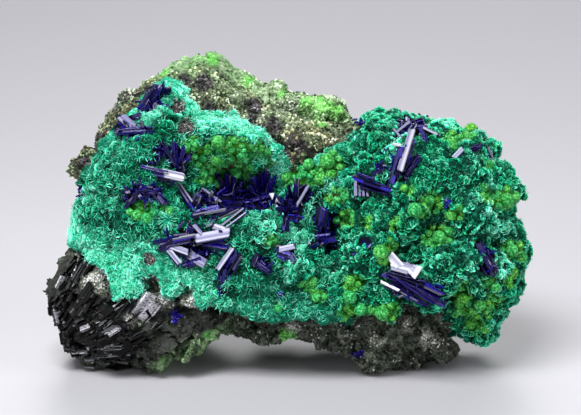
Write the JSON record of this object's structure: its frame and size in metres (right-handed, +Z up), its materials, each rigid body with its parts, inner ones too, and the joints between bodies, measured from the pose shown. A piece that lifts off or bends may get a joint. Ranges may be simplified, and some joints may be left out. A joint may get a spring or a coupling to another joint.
{
  "type": "arsentsumebite specimen",
  "caption": "Broken lump of dark ore with a green arsentsumebite druse that swells into a rounded lobe, set with blue azurite blades.",
  "frame": {"origin": "middle of the overall box, on the plane that the two feet stand on", "axes": "+X to the right along the specimen's length, -Y towards the viewer of its display face, +Z up"},
  "size_m": [0.0864, 0.046, 0.0529],
  "materials": {
    "ore_rock": "dark bladed sulfide ore with a grainy olive-brown top and a pale green stain, matt with small bright faces",
    "green_druse": "felt of tiny emerald to mint blades over lime-green botryoids, satin",
    "azurite_crystal": "deep violet-blue striated blades with a glassy polish"
  },
  "bodies": {
    "root": {"matrix_rock": "ore_rock", "arsentsumebite_crust": "green_druse", "azurite_summit": "azurite_crystal", "azurite_shoulder": "azurite_crystal", "azurite_arch": "azurite_crystal", "azurite_bar": "azurite_crystal", "azurite_spray": "azurite_crystal", "azurite_pit_bank": "azurite_crystal", "azurite_pit_fan": "azurite_crystal", "azurite_pit_crown": "azurite_crystal", "azurite_pit_end": "azurite_crystal", "azurite_rosette": "azurite_crystal", "azurite_main_group": "azurite_crystal", "azurite_pair": "azurite_crystal", "azurite_small_group": "azurite_crystal", "azurite_mound_foot": "azurite_crystal", "azurite_hollow": "azurite_crystal", "azurite_twigs": "azurite_crystal", "azurite_sword": "azurite_crystal", "azurite_beam": "azurite_crystal", "azurite_sheaf": "azurite_crystal", "azurite_right": "azurite_crystal", "azurite_brow": "azurite_crystal", "azurite_chip": "azurite_crystal", "azurite_edge": "azurite_crystal"}
  },
  "joints": []
}
